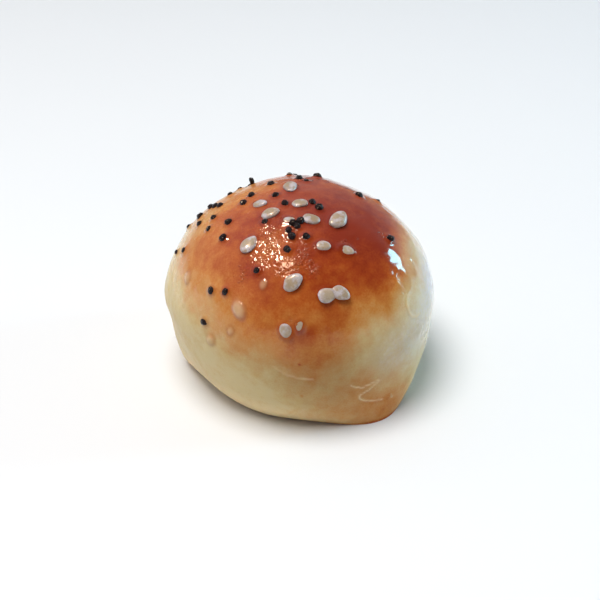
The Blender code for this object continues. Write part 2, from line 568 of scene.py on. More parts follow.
def poppy_rings(settings, rows=9, columns=14):
    """The skins of all the dark seeds, as rings from top to bottom.

    Each is an ellipsoid, longer one way than the other, with a shallow notch in one side as on
    a kidney: the radius shrinks by a bell curve of the angle to the notch, and soft noise dents it.
    A standing seed is drawn out to twice its height.
    """
    seeds = all_poppy(settings)
    draw = np.random.default_rng(settings.random_seed + 3)
    count = len(seeds)
    polar = (math.pi * np.arange(1, rows + 1) / (rows + 1))[None, :, None]
    angle = (2 * math.pi * np.arange(columns) / columns)[None, None, :]
    stretch = draw.uniform(1.0, 1.22, count)[:, None, None]
    notch = draw.uniform(0.05, 0.18, count)[:, None, None]
    radius = settings.poppy_diameter / 2 * np.array([s.size for s in seeds])[:, None, None]
    tall = np.array([2.1 if s.standing else 0.94 for s in seeds])[:, None, None]
    pinch = 1 - notch * np.exp(-((gap(np.degrees(angle), 90) / 35) ** 2)) * np.sin(polar) ** 2
    flat = radius * np.sin(polar) * pinch
    up = radius * tall * np.cos(polar) + 0 * angle
    rings = np.stack([flat * np.cos(angle) * stretch, flat * np.sin(angle), up], axis=-1)
    poles = np.zeros((count, 2, 3))
    poles[:, 0, 2] = (radius * tall)[:, 0, 0]
    poles[:, 1, 2] = -poles[:, 0, 2]
    local = np.concatenate([rings.reshape(count, -1, 3), poles], axis=1)
    shift = np.arange(count)[:, None, None] * 5 * MM
    local *= 1 + 0.05 * soft_noise(local + shift, 0.55 * MM, 47)[..., None]
    return seeds, local, (rows, columns)


# ---------------------------------------------------------------- relief of the crust


def uneven(points, crust):
    """Height of the crust's own unevenness: broad swells, and finer ones a fifth as high."""
    swell = soft_noise(points, 13 * MM, 3) + 0.45 * soft_noise(points, 6 * MM, 5)
    ripple = soft_noise(points, 2.2 * MM, 7)
    return crust.swell * 0.5 * swell + crust.ripple * ripple


def run_line(run, samples=70):
    """Places along a run of glaze: at each step the mean of its places, weighted by a bell curve of
    how many places away they are, which rounds the corners off.
    """
    places = np.array(run.places, float)
    step = np.linspace(0, len(places) - 1, samples)[:, None]
    weight = np.exp(-(((step - np.arange(len(places))) / 0.6) ** 2))
    line = weight @ places / weight.sum(axis=1, keepdims=True)
    return [Patch(bearing, rise, 0, 0) for bearing, rise in line]


def rounded(line, reach=3.0):
    """A line of points with its steps evened out: each becomes the mean of its neighbours, weighted
    by a bell curve of how many points away they are.
    """
    count = np.arange(len(line))
    weight = np.exp(-(((count[:, None] - count) / reach) ** 2))
    return weight @ line / weight.sum(axis=1, keepdims=True)


def run_relief(points, skin, runs):
    """(height, pale) of the runs of glaze: a bell curve of the distance to each line, beaded by
    noise, and the same curve times the run's pale, a painted highlight line.
    """
    flat = points.reshape(-1, 3)
    total, pale = np.zeros(len(flat)), np.zeros(len(flat))
    bead = 0.85 + 0.22 * soft_noise(flat, 1.6 * MM, 19)
    for run in runs:
        line = rounded(spots_on(skin, run_line(run))[0])
        squares = (flat**2).sum(1)[:, None] + (line**2).sum(1) - 2 * flat @ line.T
        nearest = np.sqrt(np.maximum(squares, 0)).min(axis=1)
        ridge = np.exp(-((nearest / (run.width * MM)) ** 2))
        total = np.maximum(total, run.height * MM * bead * ridge)
        pale = np.maximum(pale, run.pale * ridge)
    return total.reshape(points.shape[:-1]), pale.reshape(points.shape[:-1])


def froth_relief(points, outward, crust):
    """(height, froth) of the frothy glaze: noise of two short wavelengths where the patches are,
    with ragged edges and calm round the drop; and one smooth drop, a round cap.
    """
    froth = np.clip(patch_sum(outward, FROTH_PATCHES), 0, 1)
    ragged = 0.5 + 0.5 * np.tanh(1.2 * soft_noise(points, 1.5 * MM, 41) + 0.4)
    froth = froth * ragged
    away = angle_from(outward, GLAZE_BEAD) / GLAZE_BEAD.spread
    drop = np.maximum(1 - away**2, 0) * GLAZE_BEAD.amount
    calm = 1 - smooth_step(1.4 - away)
    beads = soft_noise(points, 0.65 * MM, 43) + 0.5 * soft_noise(points, 0.38 * MM, 45)
    return crust.froth * froth * calm * beads + crust.bead * drop, froth * calm


BURIED = 0.6  # a sesame seed that is sunk deeper than this shows only as a lump in the glaze


def seed_relief(points, skin, crust, settings):
    """(height, pool, buried) of the glaze round and over the seeds.

    Round a seed the glaze climbs its side: a bell curve of the distance outside its outline.
    Over a buried seed it stands up as a low mound, exp(-d^4) with d in seed radii. Heights are
    joined by a fourth-power mean, so that neighbours run together.
    """
    flat = points.reshape(-1, 3)
    height, pool_and_shade, buried = np.zeros(len(flat)), np.zeros(len(flat)), np.zeros(len(flat))
    jobs = [
        (s, s.turn, settings.sesame_length / 2 * s.size, settings.sesame_width / 2 * s.size, s.sink)
        for s in all_sesame(settings)
    ]
    radius = settings.poppy_diameter / 2
    jobs += [(s, 0, radius * s.size, radius * s.size, 0.5 - 0.3 * s.proud) for s in all_poppy(settings)]
    spots = spots_on(skin, [job[0] for job in jobs])
    for index, (seed, turn, half_length, half_width, sink) in enumerate(jobs):
        spot = [part[index] for part in spots]
        near = np.flatnonzero(((flat - spot[0]) ** 2).sum(axis=1) < (half_length + 2 * MM) ** 2)
        d = footprint(flat[near], spot, turn, half_length, half_width)
        outside = np.maximum(d - 0.85, 0) * half_width / crust.glaze_reach
        climb = np.exp(-(outside**2))
        if isinstance(seed, Sesame) and sink > BURIED:
            mound = np.exp(-((d / 0.95) ** 4))
            rise = settings.sesame_thickness * (1.08 - sink) * mound
            buried[near] = np.maximum(buried[near], mound * (1.5 - sink))
        else:
            rise = crust.glaze_climb * (0.4 + sink) * climb
        height[near] = (height[near] ** 4 + rise**4) ** 0.25
        # The same mask deepens the crust's colour round the seed: partly pooled glaze, partly a painted contact shadow.
        pool_and_shade[near] = np.maximum(pool_and_shade[near], climb)
    shape = points.shape[:-1]
    return height.reshape(shape), pool_and_shade.reshape(shape), buried.reshape(shape)


def patch_sum(outward, patches):
    """The sum of the patches at directions: bell curves of the angle to each."""
    return sum(p.amount * np.exp(-((angle_from(outward, p) / p.spread) ** 2)) for p in patches)


def browning_of(points, outward):
    """How brown the crust is, from 0 to 1: with u the rise over the pale dough's edge, rounded off
    below 0, it is 1 - exp(-u / fade), and then come the patches and blotches of noise.
    """
    bearing = np.degrees(np.arctan2(outward[..., 1], outward[..., 0]))
    rise = np.degrees(np.arcsin(outward[..., 2]))
    wander = 1.5 * soft_noise(points, 9 * MM, 11) + 0.7 * soft_noise(points, 3 * MM, 13)
    over = rise - BROWN_EDGE_RISE - pushed(bearing, BROWN_EDGE_PUSHES) + wander
    over = EDGE_FADE * np.logaddexp(0, over / EDGE_FADE)
    blotches = 0.025 * soft_noise(points, 5 * MM, 17) + 0.015 * soft_noise(points, 1.8 * MM, 18)
    return 0.96 * (1 - np.exp(-over / CROWN_FADE)) + patch_sum(outward, BROWN_PATCHES) + blotches


def crust_points(crust, settings):
    """The crust's grid with its relief, and its attributes. All relief fades to nothing within a
    few millimetres of the foot, which stays as flat as the CAD's.
    """
    skin = skin_of(crust)
    points, normals = skin
    outward = unit(points - BELLY_MIDDLE)
    climb, pool_and_shade, buried = seed_relief(points, skin, crust, settings)
    runs, pale = run_relief(points, skin, GLAZE_RUNS)
    foam, froth = froth_relief(points, outward, crust)
    height = uneven(points, crust) + climb + runs + foam
    height *= smooth_step(points[..., 2] / (3 * MM))
    browning = browning_of(points, outward)
    browning += FOOT_LINE * smooth_step(1 - points[..., 2] / FOOT_LINE_HEIGHT)
    rise = np.degrees(np.arcsin(outward[..., 2])) + 3 * soft_noise(points, 6 * MM, 53)
    bearing = np.degrees(np.arctan2(outward[..., 1], outward[..., 0]))
    edge = crust.glaze_edge + pushed(bearing, GLAZE_EDGE_PUSHES)
    glaze = smooth_step((rise - edge + 12) / 24) - patch_sum(outward, DRY_PATCHES)
    unbaked = np.clip(1 - 2.2 * browning, 0, 1)
    attributes = {
        "browning": browning,
        "pool_and_shade": np.maximum(pool_and_shade, runs * (pale == 0) / (0.2 * MM)),
        "froth": froth,
        "buried": buried,
        "pale": pale,
        # painted shade at the lower front
        "painted_shade": patch_sum(outward, PAINTED_SHADE_PATCHES),
        # painted cool sheen of the side window, on the pale dough only
        "window_sheen": patch_sum(outward, WINDOW_SHEEN_PATCHES) * unbaked,
        # painted bounce light: lighter dough near the tray, against the contact shade of the floor
        "bounce_light": smooth_step(1 - points[..., 2] / crust.bounce_light_height) * (0.3 + 0.7 * unbaked),
        "glaze": np.clip(glaze + runs / (0.06 * MM), 0, 1),
    }
    return points + normals * height[..., None], attributes


def crust_mesh(crust, settings):
    """The crust as one closed shell: the grid from the top to the foot's rim, then rings that draw
    in over the flat foot to its middle.
    """
    points, attributes = crust_points(crust, settings)
    top = points[0].mean(axis=0)
    rim = points[-1].copy()
    rim[:, 2] = NODE_LOW[2]
    points[-1] = rim
    middle = rim.mean(axis=0)
    shares = np.linspace(1, 0, crust.base_rows + 2)[1:-1, None, None]
    base = middle + (rim - middle) * shares
    rings = np.concatenate([points, base])[None]
    poles = np.stack([top, middle])[None]
    values = {}
    for key, grid in attributes.items():
        rows = np.concatenate([grid, np.repeat(grid[-1:], crust.base_rows, axis=0)])
        ends = [grid[0].mean(), grid[-1].mean()]
        values[key] = np.concatenate([rows.ravel(), ends])
    return shells_mesh("crust", rings, poles, values)


# ---------------------------------------------------------------- froth in the glaze


def bubble_rings(crust, settings, rows=5, columns=10):
    """Bubbles in the glaze: flattened balls, sunk so that only a low cap shows. Their places
    are drawn from bell curves round the frothy patches.
    """
    draw = np.random.default_rng(settings.random_seed + 4)
    places = []
    for patch in FROTH_PATCHES:
        for _ in range(int(crust.bubbles * patch.amount * (patch.spread / 6) ** 2)):
            away, angle = abs(draw.normal(0, patch.spread * 0.55)), draw.uniform(0, 2 * math.pi)
            rise = patch.rise + away * math.sin(angle)
            bearing = patch.bearing + away * math.cos(angle) / math.cos(math.radians(rise))
            places.append(Patch(bearing, rise, 0, 0))
    points, _ = crust_points(crust, settings)
    skin = (points, skin_of(crust)[1])
    spots = spots_on(skin, places)
    count = len(places)
    radius = (crust.bubble_size / 2 * draw.uniform(0.5, 1.3, count))[:, None, None]
    polar = (0.5 * math.pi * np.arange(1, rows + 1) / rows)[None, :, None]
    angle = (2 * math.pi * np.arange(columns) / columns)[None, None, :]
    flat, up = radius * np.sin(polar), radius * 0.36 * np.cos(polar)
    rings = np.stack([flat * np.cos(angle), flat * np.sin(angle), up + 0 * angle], axis=-1)
    poles = np.zeros((count, 2, 3))
    poles[:, 0, 2], poles[:, 1, 2] = 0.36 * radius[:, 0, 0], -0.1 * radius[:, 0, 0]
    local = np.concatenate([rings.reshape(count, -1, 3), poles], axis=1)
    zeros = np.zeros(count)
    return spots, set_on_skin(local, spots, zeros, -0.12 * radius[:, 0, 0], zeros), (rows, columns)


# ---------------------------------------------------------------- nodes


def node(tree, kind, inputs=None, **settings):
    """Adds a node. Inputs are set to a value, or linked if they are given an output socket."""
    made = tree.nodes.new(kind)
    for key, value in settings.items():
        setattr(made, key, value)
    for key, value in (inputs or {}).items():
        if isinstance(value, bpy.types.NodeSocket):
            tree.links.new(value, made.inputs[key])
        else:
            made.inputs[key].default_value = value
    return made


def maths(tree, operation, first, second=0.0, clamp=False):
    """A Math node's result."""
    made = node(tree, "ShaderNodeMath", {0: first, 1: second}, operation=operation, use_clamp=clamp)
    return made.outputs[0]


def multiply_add(tree, value, factor, addend):
    made = node(tree, "ShaderNodeMath", {0: value, 1: factor, 2: addend}, operation="MULTIPLY_ADD")
    return made.outputs[0]


def spread(tree, value, low, high, new_low=0.0, new_high=1.0):
    """Maps a value from one range to another, clamped."""
    inputs = {"Value": value, 1: low, 2: high, 3: new_low, 4: new_high}
    return node(tree, "ShaderNodeMapRange", inputs).outputs["Result"]


def mixed(tree, factor, first, second, blend="MIX"):
    """A colour Mix node's result."""
    made = node(
        tree, "ShaderNodeMix", {0: factor, 6: first, 7: second}, data_type="RGBA", blend_type=blend
    )
    return made.outputs[2]


def noise(tree, where, scale, detail=2.0, roughness=0.5):
    inputs = {"Vector": where, "Scale": scale, "Detail": detail, "Roughness": roughness}
    return node(tree, "ShaderNodeTexNoise", inputs).outputs["Fac"]


def cells(tree, where, scale, feature="F1", smooth=0.4):
    """Distance to the middle of the nearest of the cells that fill space, in cell sizes."""
    kind = "SMOOTH_F1" if feature == "F1" else feature
    made = node(tree, "ShaderNodeTexVoronoi", {"Vector": where, "Scale": scale}, feature=kind)
    if kind == "SMOOTH_F1":
        made.inputs["Smoothness"].default_value = smooth
    return made.outputs["Distance"]


def attribute(tree, name):
    return node(tree, "ShaderNodeAttribute", attribute_name=name).outputs["Fac"]


def ramp(tree, value, stops):
    """A colour ramp through (place, colour) stops, colours in linear light."""
    made = node(tree, "ShaderNodeValToRGB", {"Fac": value})
    elements = made.color_ramp.elements
    while len(elements) < len(stops):
        elements.new(0.5)
    for element, (place, colour) in zip(elements, stops):
        element.position = place
        element.color = (*colour, 1)
    return made.outputs["Color"]


def new_material(name):
    """A material's node tree, its one shader and object coordinates."""
    material = bpy.data.materials.new(name)
    material.use_nodes = True
    tree = material.node_tree
    shader = tree.nodes["Principled BSDF"]
    where = node(tree, "ShaderNodeTexCoord").outputs["Object"]
    return material, tree, shader, where


def set_finish(shader, **constants):
    """Sets numbers and colours that are the same all over on the shader's own sockets."""
    for key, value in constants.items():
        shader.inputs[key.replace("_", " ")].default_value = value


def glaze_group():
    """The film of glaze, shared by the crust and both kinds of seed: how rough it is, smoother
    where it lies thick, and the height of its fine ripples.
    """
    group = bpy.data.node_groups.get("glaze film")
    if group:
        return group
    group = bpy.data.node_groups.new("glaze film", "ShaderNodeTree")
    for name, low, high, default in (
        ("Ripples per metre", 1, 20000, 900.0),
        ("Thickness", 0, 1, 0.5),
        ("Wet roughness", 0, 1, 0.10),
        ("Dry roughness", 0, 1, 0.35),
    ):
        socket = group.interface.new_socket(name, in_out="INPUT", socket_type="NodeSocketFloat")
        socket.min_value, socket.max_value, socket.default_value = low, high, default
    for name in ("Roughness", "Height"):
        group.interface.new_socket(name, in_out="OUTPUT", socket_type="NodeSocketFloat")
    given, result = node(group, "NodeGroupInput").outputs, node(group, "NodeGroupOutput")
    where = node(group, "ShaderNodeTexCoord").outputs["Object"]
    coarse = noise(group, where, given["Ripples per metre"], detail=1.0)
    fine_scale = maths(group, "MULTIPLY", given["Ripples per metre"], 3.7)
    fine = noise(group, where, fine_scale, detail=1.0)
    height = multiply_add(group, fine, 0.35, coarse)
    thin = maths(group, "SUBTRACT", spread(group, coarse, 0.35, 0.7), given["Thickness"], clamp=True)
    span = maths(group, "SUBTRACT", given["Dry roughness"], given["Wet roughness"])
    roughness = multiply_add(group, thin, span, given["Wet roughness"])
    group.links.new(roughness, result.inputs["Roughness"])
    group.links.new(height, result.inputs["Height"])
    return group


def glaze_film(tree, thickness, per_metre, wet, dry):
    """Puts the shared film into a material and returns its roughness and its height."""
    made = node(tree, "ShaderNodeGroup", node_tree=glaze_group())
    values = (
        ("Ripples per metre", per_metre), ("Thickness", thickness), ("Wet roughness", wet), ("Dry roughness", dry),
    )
    for key, value in values:
        if isinstance(value, bpy.types.NodeSocket):
            tree.links.new(value, made.inputs[key])
        else:
            made.inputs[key].default_value = value
    return made.outputs["Roughness"], made.outputs["Height"]


def bump(tree, height, distance, strength=1.0, normal=None):
    inputs = {"Height": height, "Distance": distance, "Strength": strength}
    if normal is not None:
        inputs["Normal"] = normal
    return node(tree, "ShaderNodeBump", inputs).outputs["Normal"]


# ---------------------------------------------------------------- materials


def crust_material(crust):
    """Baked dough under glaze. Its colour runs from pale dough through gold to red-brown with the
    browning, which noise mottles at three sizes; pooled glaze, with a painted contact shadow round
    each seed, deepens it, and a buried seed shows through paler. Painted shade darkens the lower
    front, a painted cool sheen of the side window lightens the pale dough on the right, painted
    bounce light lightens it near the tray, and pale lines along the glaze runs are painted highlights.
    """
    material, tree, shader, where = new_material("baked crust")
    browning = attribute(tree, "browning")
    blotch = maths(tree, "SUBTRACT", noise(tree, where, 170, detail=3), 0.5)
    mottle = maths(tree, "SUBTRACT", noise(tree, where, 700, detail=3, roughness=0.6), 0.5)
    grain = maths(tree, "SUBTRACT", noise(tree, where, 3200, detail=2, roughness=0.6), 0.5)
    mixed_up = multiply_add(tree, blotch, 0.16, browning)
    mixed_up = multiply_add(tree, mottle, 0.24, mixed_up)
    mixed_up = multiply_add(tree, grain, 0.20, mixed_up)
    stops = (
        (0.00, crust.pale_colour),
        (0.16, crust.cream_colour),
        (0.36, crust.gold_colour),
        (0.52, crust.amber_colour),
        (0.68, crust.orange_colour),
        (0.84, crust.brown_colour),
        (1.00, crust.dark_colour),
    )
    colour = ramp(tree, mixed_up, stops)
    buried = attribute(tree, "buried")
    colour = mixed(tree, maths(tree, "MULTIPLY", buried, 0.8, clamp=True), colour, (*crust.buried_colour, 1))
    # Deepens the colour round the seeds and along the runs: pooled glaze, and round each seed a painted contact shadow.
    pool_and_shade = attribute(tree, "pool_and_shade")
    shade = maths(tree, "MULTIPLY", pool_and_shade, maths(tree, "SUBTRACT", 1.0, buried, clamp=True))
    shade = maths(tree, "MULTIPLY", shade, 0.75)
    colour = mixed(tree, shade, colour, (0.66, 0.42, 0.28, 1), blend="MULTIPLY")
    # Painted shade: darkens the dough at the lower front.
    painted_shade = maths(tree, "MULTIPLY", attribute(tree, "painted_shade"), 0.55)
    colour = mixed(tree, painted_shade, colour, (0.74, 0.68, 0.56, 1), blend="MULTIPLY")
    # Painted cool sheen of the side window on the right, mottled by noise.
    sheen_mottle = spread(tree, noise(tree, where, 1500, detail=3), 0.35, 0.65, 0.55, 0.95)
    window_sheen = maths(tree, "MULTIPLY", attribute(tree, "window_sheen"), sheen_mottle)
    colour = mixed(tree, window_sheen, colour, (*crust.window_sheen_colour, 1))
    # Painted bounce light: lightens and cools the dough near the tray, where the floor's contact shade falls.
    bounce_light = maths(tree, "MULTIPLY", attribute(tree, "bounce_light"), 1.0)
    colour = mixed(tree, bounce_light, colour, (1.5, 1.5, 1.7, 1), blend="MULTIPLY")
    # Painted highlight: pale lines along the glaze runs stand in for the glints on their edges.
    pale = maths(tree, "MULTIPLY", attribute(tree, "pale"), 0.75)
    colour = mixed(tree, pale, colour, (*crust.highlight_line_colour, 1))
    tree.links.new(colour, shader.inputs["Base Color"])
    glaze = attribute(tree, "glaze")
    thickness = multiply_add(tree, pool_and_shade, 0.3, 0.45)
    roughness, ripples = glaze_film(tree, thickness, 900.0, crust.wet_roughness, crust.dry_roughness)
    dry = maths(tree, "MULTIPLY", maths(tree, "SUBTRACT", 1.0, glaze), 0.3)
    tree.links.new(maths(tree, "ADD", roughness, dry), shader.inputs["Roughness"])
    tree.links.new(multiply_add(tree, glaze, 0.9, 0.08), shader.inputs["Coat Weight"])
    foam = maths(tree, "MULTIPLY", cells(tree, where, 2400.0), attribute(tree, "froth"))
    pores = maths(tree, "MULTIPLY", grain, multiply_add(tree, glaze, -1.6, 1.9))
    skin = bump(tree, maths(tree, "ADD", pores, ripples), 0.02 * MM)
    tree.links.new(bump(tree, foam, -0.13 * MM, normal=skin), shader.inputs["Normal"])
    set_finish(shader, IOR=1.4, Specular_IOR_Level=0.2, Coat_IOR=1.45, Coat_Roughness=0.07)
    set_finish(shader, Subsurface_Weight=0.15, Subsurface_Scale=0.0012)
    shader.inputs["Subsurface Radius"].default_value = (1.0, 0.45, 0.2)
    return material


def sesame_material(settings):
    """Hulled sesame: a beige middle and a paler, pinkish rim, partly the thin hull and partly a
    painted cool sheen, with a cast that differs from seed to seed, patches of painted lilac-white
    sheen, faint specks and stains on the hull, and a thin glaze.
    """
    material, tree, shader, where = new_material("white sesame")
    shade = attribute(tree, "shade")
    cloud = noise(tree, where, 900, detail=2)
    speck = noise(tree, where, 4200, detail=2)
    tone = multiply_add(tree, cloud, 0.5, maths(tree, "MULTIPLY", shade, 0.6))
    stops = ((0.1, settings.sesame_colour), (0.8, settings.sesame_deep_colour))
    colour = ramp(tree, tone, stops)
    # Paler, lilac rim: partly the thin hull's edge, partly a painted cool sheen of the side window.
    rim = multiply_add(tree, cloud, 0.5, attribute(tree, "rim"))
    colour = mixed(tree, spread(tree, rim, 0.80, 1.35, 0, 0.65), colour, (*settings.sesame_rim_sheen_colour, 1))
    # Painted sheen: lilac-white patches stand in for the cool light's reflection on the hulls.
    film = noise(tree, where, 650, detail=2, roughness=0.6)
    colour = mixed(tree, spread(tree, film, 0.46, 0.60, 0, 0.6), colour, (0.58, 0.55, 0.62, 1))
    colour = mixed(tree, spread(tree, speck, 0.52, 0.75, 0, 0.45), colour, (0.30, 0.19, 0.11, 1))
    stain = noise(tree, where, 1600, detail=3, roughness=0.6)
    colour = mixed(tree, spread(tree, stain, 0.52, 0.70, 0, 0.4), colour, (0.34, 0.22, 0.13, 1))
    tree.links.new(colour, shader.inputs["Base Color"])
    roughness, ripples = glaze_film(tree, 0.35, 1400.0, 0.28, 0.5)
    tree.links.new(roughness, shader.inputs["Roughness"])
    tree.links.new(bump(tree, multiply_add(tree, stain, 1.2, ripples), 0.05 * MM), shader.inputs["Normal"])
    set_finish(shader, IOR=1.45, Subsurface_Weight=0.35, Subsurface_Scale=0.0006)
    set_finish(shader, Coat_Weight=0.8, Coat_Roughness=0.12, Coat_IOR=1.5)
    shader.inputs["Subsurface Radius"].default_value = (1.0, 0.7, 0.45)
    return material


def poppy_material(settings):
    """Blue-black seeds with a netted skin under a thin glaze."""
    material, tree, shader, where = new_material("dark seed")
    shade = attribute(tree, "shade")
    net = cells(tree, where, 4200.0, feature="DISTANCE_TO_EDGE")
    dusty = maths(tree, "MULTIPLY", shade, noise(tree, where, 2500, detail=1))
    colour = mixed(tree, dusty, (*settings.poppy_colour, 1), (*settings.poppy_bloom_colour, 1))
    tree.links.new(colour, shader.inputs["Base Color"])
    roughness, ripples = glaze_film(tree, 0.4, 1800.0, 0.10, 0.25)
    tree.links.new(roughness, shader.inputs["Roughness"])
    pits = maths(tree, "SUBTRACT", 0.25, maths(tree, "MINIMUM", net, 0.25))
    tree.links.new(bump(tree, multiply_add(tree, ripples, 0.5, pits), 0.12 * MM), shader.inputs["Normal"])
    set_finish(shader, IOR=1.4, Specular_IOR_Level=0.35)
    return material


def floor_material(stage):
    material, tree, shader, where = new_material("pale floor")
    tone = spread(tree, noise(tree, where, 6, detail=3), 0.3, 0.7, 0.985, 1.0)
    colour = mixed(tree, 1.0, (*stage.floor_colour, 1), tone, blend="MULTIPLY")
    tree.links.new(colour, shader.inputs["Base Color"])
    set_finish(shader, Roughness=0.7)
    return material


# ---------------------------------------------------------------- settings


def length(name, description, default):
    return FloatProperty(
        name=name, description=description, default=default, min=0, precision=5, subtype="DISTANCE", unit="LENGTH"
    )


def tint(name, description, default):
    return FloatVectorProperty(
        name=name, description=description, default=default, size=3, min=0, max=1, subtype="COLOR"
    )


class CrustSettings(bpy.types.PropertyGroup):
    """Sizes and colours of the crust and its glaze."""

    columns: IntProperty(name="Columns", description="Faces round the crust", default=440, min=60, max=600)
    crown_rows: IntProperty(name="Crown rows", description="Faces from the top to the belly", default=150, min=20)
    flank_rows: IntProperty(name="Flank rows", description="Faces from the belly to the foot", default=60, min=8)
    base_rows: IntProperty(name="Base rows", description="Rings of faces under the foot", default=3, min=1)
    swell: length("Swell", "Height of the crust's broad unevenness", 0.00010)
    ripple: length("Ripple", "Height of the crust's finer unevenness", 0.000012)
    glaze_climb: length("Glaze climb", "How far the glaze climbs the side of a seed", 0.00025)
    glaze_reach: length("Glaze reach", "How far from a seed the glaze starts to climb", 0.00040)
    glaze_edge: FloatProperty(
        name="Glaze edge", description="Rise in degrees down to which the glaze was brushed", default=14.0
    )
    froth: length("Froth", "Height of the beads in the frothy glaze", 0.000026)
    bead: length("Glaze drop", "Height of the one large drop of glaze", 0.000015)
    bubbles: IntProperty(name="Bubbles", description="Bubbles in a frothy patch of 6 degrees", default=60, min=0)
    bubble_size: length("Bubble size", "Diameter of a bubble in the glaze", 0.00042)
    pale_colour: tint("Pale dough", "Dough that hardly browned", (0.63, 0.50, 0.255))
    cream_colour: tint("Cream dough", "Dough at the edge of the crown", (0.59, 0.40, 0.17))
    gold_colour: tint("Gold crust", "Lightly browned crust", (0.56, 0.28, 0.09))
    amber_colour: tint("Amber crust", "Crust between gold and orange", (0.52, 0.19, 0.04))
    orange_colour: tint("Orange crust", "Browned crust", (0.41, 0.095, 0.015))
    brown_colour: tint("Brown crust", "Well browned crust", (0.30, 0.0435, 0.0075))
    dark_colour: tint("Dark crust", "The darkest crust", (0.21, 0.020, 0.0045))
    buried_colour: tint("Buried seed", "A white seed seen through the glaze", (0.66, 0.50, 0.30))
    highlight_line_colour: tint("Highlight line", "Pale line painted along a glaze run as its highlight", (0.76, 0.53, 0.27))
    # A painted cool sheen of the side window, not a colour of the dough.
    window_sheen_colour: tint("Window sheen", "Pale dough under a painted cool window sheen", (0.60, 0.55, 0.58))
    # Painted bounce light, lightening the dough near the tray.
    bounce_light_height: length("Bounce light height", "How far up from the tray the dough is lighter", 0.007)
    wet_roughness: FloatProperty(name="Wet roughness", description="Roughness of thick glaze", default=0.10, min=0, max=1)
    dry_roughness: FloatProperty(name="Dry roughness", description="Roughness of thin glaze", default=0.34, min=0, max=1)


class SeedSettings(bpy.types.PropertyGroup):
    """Sizes, numbers and colours of the seeds."""

    sesame_length: length("Sesame length", "Length of a sesame seed", 0.0033)
    sesame_width: length("Sesame width", "Width of a sesame seed", 0.0024)
    sesame_thickness: length("Sesame thickness", "Thickness of a sesame seed", 0.0012)
    poppy_diameter: length("Dark seed diameter", "Diameter of a dark seed", 0.00122)
    sesame_behind: IntProperty(name="More sesame", description="Sesame seeds scattered at the back", default=11, min=0)
    poppy_behind: IntProperty(name="More dark seeds", description="Dark seeds scattered at the back", default=30, min=0)
    random_seed: IntProperty(name="Random seed", description="Starts the random draws", default=5, min=0)
    sesame_colour: tint("Sesame", "The palest sesame", (0.50, 0.39, 0.28))
    sesame_deep_colour: tint("Deep sesame", "The yellowest sesame", (0.31, 0.22, 0.13))
    # Partly the hull's own edge, partly a painted cool sheen.
    sesame_rim_sheen_colour: tint("Sesame rim", "The seeds' rims, with a painted cool sheen", (0.48, 0.39, 0.39))
    poppy_colour: tint("Dark seed", "Colour of the dark seeds", (0.010, 0.0035, 0.0025))
    poppy_bloom_colour: tint("Dark seed bloom", "Their dusty bloom", (0.020, 0.012, 0.013))


class StageSettings(bpy.types.PropertyGroup):
    """Camera, lights and floor."""

    camera_rise: FloatProperty(
        name="Camera rise", description="Angle the camera looks down by", default=math.radians(33), subtype="ANGLE"
    )
    camera_distance: length("Camera distance", "From the camera to its target", 0.22)
    target_height: length("Target height", "Height the camera looks at", 0.01295)
    lens: FloatProperty(name="Lens", description="Focal length in millimetres", default=77.0, min=1)
    lamp_power: FloatProperty(name="Lamp", description="Power of the overhead lamp in watts", default=3.95, min=0)
    window_power: FloatProperty(name="Window", description="Power of the tall side light in watts", default=1.9, min=0)
    fill_power: FloatProperty(name="Fill", description="Power of the soft fill in watts", default=0.3, min=0)
    glint_power: FloatProperty(name="Glint", description="Power of the glossy lamp in watts", default=2.8, min=0)
    surround: FloatProperty(name="Surround", description="Brightness of the room", default=0.06, min=0)
    floor_size: length("Floor size", "Width of the floor", 6.0)
    floor_colour: tint("Floor", "Colour of the floor", (0.76, 0.76, 0.76))


# ---------------------------------------------------------------- operators


class BREAD_ROLL_OT_crust(bpy.types.Operator):
    """Adds the baked, glazed crust in place of the plain solid"""

    bl_idname = "bread_roll.crust"
    bl_label = "Crust"

    def execute(self, context):
        crust, settings = context.scene.roll_crust, context.scene.roll_seeds
        piece = add_piece("crust", crust_mesh(crust, settings), crust_material(crust))
        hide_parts(NODE)
        return {"FINISHED"}


class BREAD_ROLL_OT_glaze_bubbles(bpy.types.Operator):
    """Adds the bubbles in the glaze where it is frothy"""

    bl_idname = "bread_roll.glaze_bubbles"
    bl_label = "Glaze Bubbles"

    def execute(self, context):
        crust, settings = context.scene.roll_crust, context.scene.roll_seeds
        material = bpy.data.materials.get("baked crust")
        if material is None:
            raise RuntimeError("make the crust first, because its bubbles share its material")
        spots, placed, (rows, columns) = bubble_rings(crust, settings)
        count = len(placed)
        outward = unit(placed - BELLY_MIDDLE)
        zeros = np.zeros(placed.shape[:2])
        values = {"browning": browning_of(placed, outward), "glaze": zeros + 1}
        rings = placed[:, :-2].reshape(count, rows, columns, 3)
        mesh = shells_mesh("glaze_bubbles", rings, placed[:, -2:], values)
        add_piece("glaze_bubbles", mesh, material)
        return {"FINISHED"}


